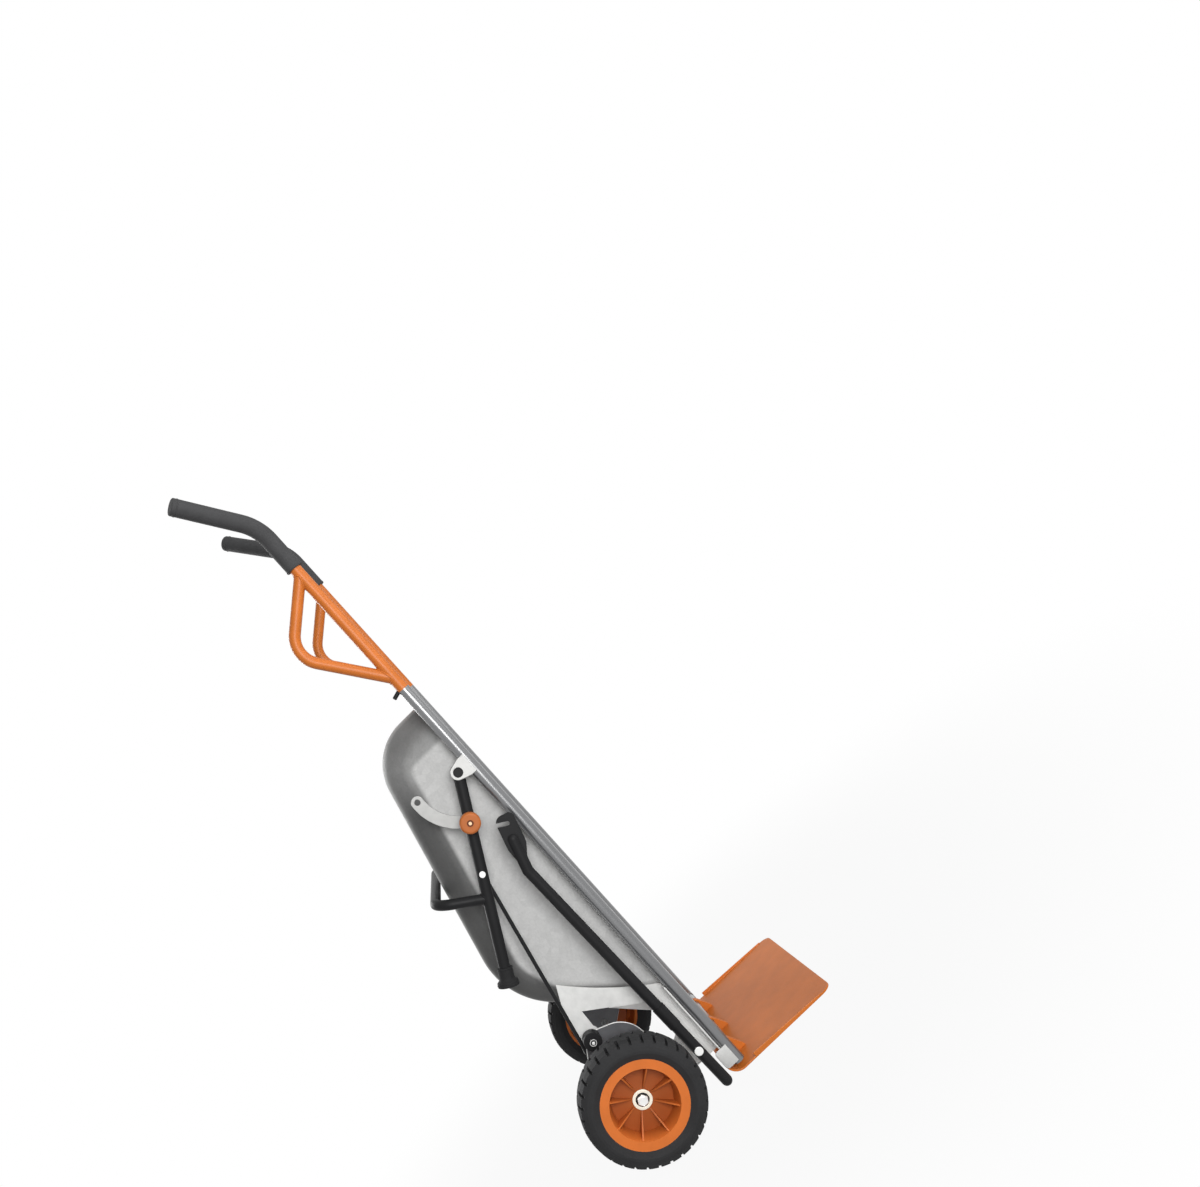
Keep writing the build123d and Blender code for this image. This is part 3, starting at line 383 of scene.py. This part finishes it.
def paint_pit_shade(tree, shader, place, axis, radius, floor, mouth, tint):
    """Darken the colour in a round pit with a painted shade; axis is its (y, z), floor and mouth are
    distances from the middle.
    """
    from_axis = add(tree, "ShaderNodeVectorMath", {0: place, 1: (0.0, *axis)}, operation="SUBTRACT")
    off_x, off_y, off_z = split(tree, from_axis.outputs["Vector"])
    flat = add(tree, "ShaderNodeCombineXYZ", {"Y": off_y, "Z": off_z})
    reach = add(tree, "ShaderNodeVectorMath", {0: flat.outputs["Vector"]}, operation="LENGTH")
    inside = ramp(tree, reach.outputs["Value"], radius - 0.001, radius + 0.0005, start=1.0, end=0.0)
    deep = ramp(tree, maths(tree, "ABSOLUTE", off_x), floor, mouth, start=1.0, end=0.0)
    # Painted shade, deepest at the pit's floor.
    pit_shade = maths(tree, "MULTIPLY", inside, deep)
    unshaded_colour = shader.inputs["Base Color"].links[0].from_socket
    shaded_colour = scaled(tree, unshaded_colour, tint)
    tree.links.new(mixed_colours(tree, pit_shade, unshaded_colour, shaded_colour), shader.inputs["Base Color"])


def moulded_plastic(name, colour, roughness, pit=None):
    """Injection-moulded plastic: even colour, waxy gloss, fine grain, and a painted shade in a pit."""
    material, tree, shader, coords = start_material(name, IOR=1.49, Specular_IOR_Level=0.3)
    place = coords.outputs["Object"]
    mottle(tree, shader, place, colour, grain=35.0, low=0.95, high=1.04)
    if pit:
        paint_pit_shade(tree, shader, place, **pit)
    grain = noise(tree, place, 2.0, detail=1.0)
    rough_bump(tree, shader, grain, roughness - 0.05, roughness + 0.08, strength=0.12, depth=0.06)
    return material


def coat(node, material):
    """Give a CAD node a material."""
    for each in node.material_slots:
        each.material = material


def finish(material, *names):
    """Give CAD nodes, named by how their names start, a material."""
    found = [node for name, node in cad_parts.items() if name.startswith(names)]
    if not found:
        raise RuntimeError(f"no node starts with {names}")
    for node in found:
        coat(node, material)


def soften(width, *names, steps=2):
    """Round the sharp edges of CAD nodes by so many millimetres, with modifiers alone."""
    for name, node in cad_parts.items():
        if not name.startswith(names):
            continue
        join = node.modifiers.new("join_triangles", "WELD")
        join.merge_threshold = 0.00002
        flat = node.modifiers.new("flat_faces", "DECIMATE")
        flat.decimate_type = "DISSOLVE"
        flat.angle_limit = radians(1.0)
        edge = node.modifiers.new("rounded_edges", "BEVEL")
        edge.width = width / 1000
        edge.segments = steps
        edge.limit_method = "ANGLE"
        edge.angle_limit = radians(38.0)
        shade = node.modifiers.new("even_shading", "WEIGHTED_NORMAL")
        shade.keep_sharp = True


def middle(low, high):
    """Where the middle of a box lies, as its (y, z)."""
    return (low.y + high.y) / 2, (low.z + high.z) / 2


def settle(name):
    """Name the piece just added and put its place into its mesh."""
    piece = bpy.context.active_object
    piece.name = name
    piece.data.name = name
    bpy.ops.object.transform_apply(location=True, rotation=True, scale=True)
    return piece


def pick_outer_face(piece):
    """Enter edit mode with the face of a right-hand piece selected that looks out sideways."""
    bpy.ops.object.mode_set(mode="OBJECT")
    bpy.context.tool_settings.mesh_select_mode = (False, False, True)
    mesh = piece.data
    for part in (*mesh.vertices, *mesh.edges):
        part.select = False
    for face in mesh.polygons:
        face.select = face.normal.x < -0.9
    bpy.ops.object.mode_set(mode="EDIT")


def dress(piece, body, slot, *materials):
    """Close a piece: point its faces outwards, smooth it, give its finish and ride it."""
    bpy.ops.object.select_all(action="DESELECT")
    piece.select_set(True)
    bpy.context.view_layer.objects.active = piece
    bpy.ops.object.mode_set(mode="EDIT")
    bpy.ops.mesh.select_all(action="SELECT")
    bpy.ops.mesh.remove_doubles(threshold=0.00001)
    bpy.ops.mesh.normals_make_consistent(inside=False)
    bpy.ops.object.mode_set(mode="OBJECT")
    bpy.ops.object.shade_smooth_by_angle(angle=radians(35.0))
    for index, material in enumerate(materials):
        if index < len(piece.data.materials):
            piece.data.materials[index] = material
        else:
            piece.data.materials.append(material)
    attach(piece, body)


def round_edges(piece, width):
    """Bevel the sharp edges of a piece by so many metres."""
    bpy.ops.object.mode_set(mode="OBJECT")
    edge = piece.modifiers.new("rounded_edges", "BEVEL")
    edge.width = width
    edge.segments = 2
    edge.limit_method = "ANGLE"
    edge.angle_limit = radians(30.0)
    bpy.ops.object.modifier_apply(modifier=edge.name)


def mirrored(piece, name):
    """Copy a piece of the right side to the left."""
    bpy.ops.object.select_all(action="DESELECT")
    piece.select_set(True)
    bpy.context.view_layer.objects.active = piece
    bpy.ops.object.duplicate()
    twin = settle(name)
    bpy.ops.object.mode_set(mode="EDIT")
    bpy.ops.mesh.select_all(action="SELECT")
    bpy.ops.transform.resize(value=(-1.0, 1.0, 1.0), center_override=(0.0, 0.0, 0.0))
    bpy.ops.object.mode_set(mode="OBJECT")
    return twin


def pair(piece, body, slot, *materials):
    """Copy a piece of the right side to the left, close both and return them."""
    twin = mirrored(piece, piece.name.replace("_right", "_left"))
    for each in (piece, twin):
        dress(each, body, slot, *materials)
    return piece, twin


def disc(name, sides, radius, near, far, axis):
    """Start a turned piece as a drum on the right side, along X between two distances from the middle."""
    bpy.ops.object.select_all(action="DESELECT")
    bpy.ops.mesh.primitive_cylinder_add(vertices=sides, radius=radius, depth=far - near,
                                        location=(-(near + far) / 2, *axis), rotation=(0.0, pi / 2, 0.0))
    return settle(name)


def bead(name, centre, along, radius, depth, onto=None):
    """Lay a round bead of half thickness depth about a line, and press it along that on to a node's skin."""
    bpy.ops.object.select_all(action="DESELECT")
    bpy.ops.mesh.primitive_circle_add(vertices=56, radius=radius, location=centre,
                                      rotation=Vector(along).to_track_quat("Z", "Y").to_euler())
    ring = bpy.context.active_object
    if onto:
        press = ring.modifiers.new("pressed_on", "SHRINKWRAP")
        press.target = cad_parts[onto]
        press.wrap_method = "PROJECT"
        press.use_project_z = True
        bpy.ops.object.modifier_apply(modifier=press.name)
    bpy.ops.object.convert(target="CURVE")
    ring.data.bevel_depth = depth
    ring.data.bevel_resolution = 3
    bpy.ops.object.convert(target="MESH")
    return settle(name)


def seen_directly(tree):
    """1 for a ray from the camera, off a gloss or through glass, and 0 for soft light."""
    path = add(tree, "ShaderNodeLightPath")
    seen = maths(tree, "MAXIMUM", path.outputs["Is Camera Ray"], path.outputs["Is Glossy Ray"])
    return maths(tree, "MAXIMUM", seen, path.outputs["Is Transmission Ray"])


def white_floor_paint(name):
    """Floor that is seen white and shaded near the object, but throws less light back than white would."""
    material, tree, shader, coords = start_material(name, Base_Color=linear("#8a8a8a"), Roughness=0.9)
    glow = add(tree, "ShaderNodeEmission", {"Color": WHITE, "Strength": 1.0})
    # Away from the object the floor fades into the white backdrop.
    far = add(tree, "ShaderNodeVectorMath", {0: coords.outputs["Object"]}, operation="LENGTH")
    fade = ramp(tree, far.outputs["Value"], 0.5, 1.6, start=0.93, end=1.0, smooth=True)
    lit = maths(tree, "MULTIPLY", seen_directly(tree), fade)
    both = add(tree, "ShaderNodeMixShader", {0: lit, 1: shader.outputs[0], 2: glow.outputs[0]})
    tree.links.new(both.outputs[0], tree.nodes["Material Output"].inputs["Surface"])
    return material


def soft_dome(world):
    """White backdrop whose soft light is brighter above, in front and to the right."""
    world.use_nodes = True
    tree = world.node_tree
    tree.nodes.clear()
    way = add(tree, "ShaderNodeTexCoord").outputs["Generated"]
    brightest = (-0.5, -0.62, 0.6)
    nearness = add(tree, "ShaderNodeVectorMath", {0: way, 1: brightest}, operation="DOT_PRODUCT")
    level = ramp(tree, nearness.outputs["Value"], -1.0, 1.0, start=0.03, end=0.2)
    dome = add(tree, "ShaderNodeBackground", {"Color": WHITE, "Strength": level})
    backdrop = add(tree, "ShaderNodeBackground", {"Color": WHITE, "Strength": 1.0})
    seen = seen_directly(tree)
    both = add(tree, "ShaderNodeMixShader", {0: seen, 1: dome.outputs[0], 2: backdrop.outputs[0]})
    add(tree, "ShaderNodeOutputWorld", {"Surface": both.outputs[0]})


def colours():
    """The colour properties of the scene."""
    return bpy.context.scene.barrow_colours


def sizes():
    """The size properties of the scene."""
    return bpy.context.scene.barrow_sizes


class BARROW_OT_tubes(Operator):
    """Main tubes, nose tube and the sleeves that carry the handles"""

    bl_idname = "barrow.tubes"
    bl_label = "Main tubes"

    def execute(self, context):
        finish(silver_enamel("silver_enamel", colours().silver), "main_tube", "nose_tube", "handle_spigots")
        return {"FINISHED"}


class BARROW_OT_handles(Operator):
    """Orange handle tubes, hand loops and toe plate, and the grips"""

    bl_idname = "barrow.handles"
    bl_label = "Handles"

    def execute(self, context):
        orange = powder_coat("orange_powder_coat", colours().orange, sizes().coat_peel, roughness=0.4,
                             shine=0.3)
        finish(orange, "handle_tube", "handle_loop", "toe_plate", "toe_hinge")
        finish(foam_rubber("grip_foam", colours().rubber, sizes().grip_grain), "grip")
        return {"FINISHED"}


class BARROW_OT_tub(Operator):
    """Galvanised tub"""

    bl_idname = "barrow.tub"
    bl_label = "Tub"

    def execute(self, context):
        finish(galvanised_sheet("galvanised_sheet", colours().sheet, sizes().sheet_grain), "tub")
        return {"FINISHED"}


class BARROW_OT_legs(Operator):
    """Legs with crossbar and boots, link rods, side arms and the other black fittings"""

    bl_idname = "barrow.legs"
    bl_label = "Legs and arms"

    def execute(self, context):
        black = powder_coat("black_powder_coat", colours().black, sizes().coat_peel, roughness=0.42,
                            shine=0.1)
        finish(black, "leg", "link_rod", "arm_tube", "arm_hook", "handle_pegs", "swing_bosses", "lock_seat",
               "swing_spacers")
        finish(tyre_rubber("boot_rubber", colours().boot), "boot")
        return {"FINISHED"}


class BARROW_OT_brackets(Operator):
    """Plated ears, quadrants, axle brackets and bolts, and the swing plates"""

    bl_idname = "barrow.brackets"
    bl_label = "Brackets"

    def execute(self, context):
        finish(zinc_plate("zinc_plate", colours().zinc, roughness=0.5), "axle_bracket")
        finish(zinc_plate("satin_zinc", colours().ear, roughness=0.55), "pivot_ear")
        finish(zinc_plate("dull_zinc", colours().quadrant, roughness=0.55), "lock_quadrant")
        finish(zinc_plate("zinc_bolt", colours().bolt, roughness=0.4), "arm_pivot", "rod_bolts")
        finish(zinc_plate("brass_screw", colours().brass, roughness=0.45), "lock_plunger")
        oxide = powder_coat("black_oxide", colours().black, sizes().coat_peel, roughness=0.35, shine=0.4)
        finish(oxide, "swing_pivot_bolts", "swing_nuts")
        finish(cut_plate("phosphated_plate", colours().plate, colours().zinc), "swing_plate")
        return {"FINISHED"}


class BARROW_OT_wheels(Operator):
    """Tyres, rims, bushes and axle, and the lock knobs, which are moulded as the rims are"""

    bl_idname = "barrow.wheels"
    bl_label = "Wheels"

    def execute(self, context):
        finish(tyre_rubber("tyre_rubber", colours().tyre), "tyre")
        # The dish of each rim gets a painted shade, deepest at its floor.
        dish = {"axis": middle(*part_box("rim_left")), "radius": 0.0705, "floor": 0.309, "mouth": 0.345,
                "tint": (0.5, 0.44, 0.4)}
        rim = moulded_plastic("orange_polypropylene", colours().wheel_orange, roughness=0.45, pit=dish)
        finish(rim, "rim")
        # The hollow of each knob gets a painted shade, a dark ring round the screw end.
        hollow = {"axis": middle(*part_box("lock_knob_left")), "radius": 0.0072, "floor": 0.2558,
                  "mouth": 0.2592, "tint": (0.3, 0.22, 0.15)}
        knob = moulded_plastic("orange_nylon", colours().knob_orange, roughness=0.5, pit=hollow)
        finish(knob, "lock_knob")
        finish(moulded_plastic("white_nylon", colours().nylon, roughness=0.4), "wheel_bush")
        steel = turned_steel("turned_steel", colours().steel)
        finish(steel, "axle_spacers")
        coat(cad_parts["axle"], steel)
        return {"FINISHED"}


class BARROW_OT_hubs(Operator):
    """Axle nuts and dished hub washers"""

    bl_idname = "barrow.hubs"
    bl_label = "Hubs"

    def execute(self, context):
        cream = zinc_plate("yellow_zinc", colours().washer, roughness=0.5)
        # Dark rubber for the painted shade in the washers' dishes.
        dish_shade = tyre_rubber("seal_rubber", colours().boot)
        across, up = middle(*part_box("rim_left"))
        edge_round = 0.0004

        washer = disc("hub_washer_right", sides=48, radius=0.020, near=0.3113, far=0.3138, axis=(across, up))
        # The middle is pushed in, which leaves a raised rim.
        pick_outer_face(washer)
        bpy.ops.mesh.inset(thickness=0.0062)
        bpy.ops.mesh.extrude_region_move(TRANSFORM_OT_translate={"value": (0.0014, 0.0, 0.0)})
        round_edges(washer, edge_round)
        for material in (cream, dish_shade):
            washer.data.materials.append(material)
        # The floor of the dish is dark rubber, a painted shade round the nut.
        dish_shade_radius, dish_shade_back = 0.0137, 0.3115
        for face in washer.data.polygons:
            reach = Vector((0.0, face.center.y - across, face.center.z - up)).length
            face.material_index = int(reach < dish_shade_radius and face.center.x < -dish_shade_back)
        for piece in pair(washer, "carrier", "axle_steel", cream, dish_shade):
            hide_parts("axle_washers")

        nut = disc("hub_nut_right", sides=6, radius=0.0118, near=0.3122, far=0.3196, axis=(across, up))
        # A chamfer round the face, a flat land, and a shallow step down to the thread.
        pick_outer_face(nut)
        bpy.ops.mesh.inset(thickness=0.0011)
        bpy.ops.transform.translate(value=(-0.0008, 0.0, 0.0))
        bpy.ops.mesh.inset(thickness=0.0009)
        bpy.ops.mesh.inset(thickness=0.0005)
        bpy.ops.transform.translate(value=(0.0005, 0.0, 0.0))
        round_edges(nut, edge_round)
        for piece in pair(nut, "carrier", "axle_steel", bpy.data.materials["turned_steel"]):
            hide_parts("axle_nuts")
        return {"FINISHED"}


class BARROW_OT_stop_tabs(Operator):
    """Tabs on the main tubes that the side arms stop against"""

    bl_idname = "barrow.stop_tabs"
    bl_label = "Stop tabs"

    def execute(self, context):
        low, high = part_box("arm_stop_tabs")
        thickness, corner_radius, edge_round = 0.003, 0.008, 0.0006
        near, far = high.x - thickness, high.x
        front, back = low.y, -0.0075
        foot, top = 0.0235, 0.066
        bpy.ops.object.select_all(action="DESELECT")
        bpy.ops.mesh.primitive_cube_add(size=1.0, scale=(far - near, back - front, top - foot),
                                        location=(-(near + far) / 2, (front + back) / 2, (foot + top) / 2))
        tab = settle("arm_stop_tab_right")
        # The two free corners are cut round; the tube side stays square for its weld.
        mesh = tab.data
        bpy.context.tool_settings.mesh_select_mode = (False, True, False)
        for part in (*mesh.vertices, *mesh.polygons):
            part.select = False
        for edge in mesh.edges:
            first, second = (mesh.vertices[i].co for i in edge.vertices)
            runs_through = abs(first.x - second.x) > thickness / 2
            edge.select = runs_through and first.y > (front + back) / 2
        bpy.ops.object.mode_set(mode="EDIT")
        bpy.ops.mesh.bevel(offset=corner_radius, segments=5)
        round_edges(tab, edge_round)
        for piece in pair(tab, "frame", "bracket_zinc", bpy.data.materials["satin_zinc"]):
            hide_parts("arm_stop_tabs")
        return {"FINISHED"}


class BARROW_OT_bolt_tips(Operator):
    """Bright tips and lock rings of the swing pivot bolts"""

    bl_idname = "barrow.bolt_tips"
    bl_label = "Bolt tips"

    def execute(self, context):
        low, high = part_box("swing_pivot_bolts")
        axis = middle(low, high)
        tip = disc("swing_bolt_tip_right", sides=24, radius=0.0032, near=high.x - 0.0006, far=high.x + 0.0012,
                   axis=axis)
        pick_outer_face(tip)
        bpy.ops.mesh.inset(thickness=0.0008)
        bpy.ops.transform.translate(value=(-0.0006, 0.0, 0.0))
        round_edges(tip, 0.0002)
        nut_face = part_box("swing_nuts")[1].x
        ring = bead("swing_lock_ring_right", (-nut_face, *axis), (1.0, 0.0, 0.0), radius=0.0065, depth=0.0006)
        for piece in (tip, ring):
            pair(piece, "frame", "bolt_zinc", bpy.data.materials["zinc_bolt"])
        return {"FINISHED"}


class BARROW_OT_welds(Operator):
    """Weld beads where the loops, the crossbar and the nose tube meet other tubes"""

    bl_idname = "barrow.welds"
    bl_label = "Weld beads"

    def execute(self, context):
        for name, point, way, radius, seat, body, slot, material in WELDS:
            weld = bead(f"{name}_right", point, way, radius, WELD_DEPTH, seat)
            pair(weld, body, slot, bpy.data.materials[material])
        return {"FINISHED"}


class BARROW_OT_cuffs(Operator):
    """Moulded cuffs of the grips and the boots"""

    bl_idname = "barrow.cuffs"
    bl_label = "Cuffs"

    def execute(self, context):
        for name, centre, way, radius, depth, body, material in CUFFS:
            cuff = bead(f"{name}_right", centre, way, radius, depth)
            pair(cuff, body, "rubber_black", bpy.data.materials[material])
        return {"FINISHED"}


class BARROW_OT_edges(Operator):
    """Rounded edges of the cut, pressed and turned pieces"""

    bl_idname = "barrow.edges"
    bl_label = "Rounded edges"

    def execute(self, context):
        soften(1.5, "swing_plate", steps=1)
        soften(0.8, "axle_bracket", "pivot_ear", "lock_quadrant", "toe_", "arm_hook")
        soften(0.7, "rim", "rod_bolts", "arm_pivot_bolts", "swing_bosses", "swing_nuts", "lock_seat", "boot")
        return {"FINISHED"}


class BARROW_OT_stage(Operator):
    """White floor, soft light and the camera"""

    bl_idname = "barrow.stage"
    bl_label = "Studio"

    def execute(self, context):
        scene = context.scene
        bpy.ops.object.select_all(action="DESELECT")
        # The floor lies just under the wheels and the toe plate.
        bpy.ops.mesh.primitive_circle_add(vertices=96, radius=sizes().floor_radius, fill_type="NGON",
                                          location=(0, 0, -0.0006))
        floor = context.active_object
        floor.name = "studio_floor"
        bpy.ops.object.transform_apply(location=True)
        floor.data.materials.append(white_floor_paint("white_floor_paint"))

        scene.world = scene.world or bpy.data.worlds.new("studio")
        soft_dome(scene.world)

        for name, place, width, watts in LAMPS:
            lamp = bpy.data.lights.new(name, "AREA")
            lamp.shape = "DISK"
            lamp.size = width
            lamp.energy = watts
            holder = bpy.data.objects.new(name, lamp)
            holder.location = place
            holder.rotation_euler = (LAMP_AIM - Vector(place)).to_track_quat("-Z", "Y").to_euler()
            scene.collection.objects.link(holder)

        eye = bpy.data.cameras.new("photo_view")
        eye.sensor_width = VIEW_FILM
        eye.lens = VIEW_LENS
        eye.shift_x, eye.shift_y = VIEW_SHIFT
        camera = bpy.data.objects.new("photo_view", eye)
        turn = Matrix((VIEW_RIGHT, VIEW_UP, -VIEW_AHEAD)).transposed().to_4x4()
        camera.matrix_world = Matrix.Translation(VIEW_FROM) @ turn
        scene.collection.objects.link(camera)
        scene.camera = camera
        scene.view_settings.view_transform = "Standard"
        return {"FINISHED"}


operators = (BARROW_OT_tubes, BARROW_OT_handles, BARROW_OT_tub, BARROW_OT_legs, BARROW_OT_brackets,
             BARROW_OT_wheels, BARROW_OT_hubs, BARROW_OT_stop_tabs, BARROW_OT_bolt_tips, BARROW_OT_welds,
             BARROW_OT_cuffs, BARROW_OT_edges, BARROW_OT_stage)


class BARROW_PT_panel(Panel):
    """Colours, sizes and steps of the wheelbarrow"""

    bl_label = "Wheelbarrow"
    bl_space_type = "VIEW_3D"
    bl_region_type = "UI"
    bl_category = "Barrow"

    def draw(self, context):
        for group in (context.scene.barrow_colours, context.scene.barrow_sizes):
            for key in group.__annotations__:
                self.layout.prop(group, key)
        for step in operators:
            self.layout.operator(step.bl_idname)


classes = (BarrowColours, BarrowSizes, *operators, BARROW_PT_panel)


def register():
    for each in classes:
        bpy.utils.register_class(each)
    bpy.types.Scene.barrow_colours = PointerProperty(type=BarrowColours)
    bpy.types.Scene.barrow_sizes = PointerProperty(type=BarrowSizes)


def unregister():
    del bpy.types.Scene.barrow_sizes
    del bpy.types.Scene.barrow_colours
    for each in reversed(classes):
        bpy.utils.unregister_class(each)


def main():
    """Register the classes and run every step."""
    register()
    bpy.ops.barrow.tubes()
    bpy.ops.barrow.handles()
    bpy.ops.barrow.tub()
    bpy.ops.barrow.legs()
    bpy.ops.barrow.brackets()
    bpy.ops.barrow.wheels()
    bpy.ops.barrow.hubs()
    bpy.ops.barrow.stop_tabs()
    bpy.ops.barrow.bolt_tips()
    bpy.ops.barrow.welds()
    bpy.ops.barrow.cuffs()
    bpy.ops.barrow.edges()
    bpy.ops.barrow.stage()


if __name__ == "__main__":
    main()
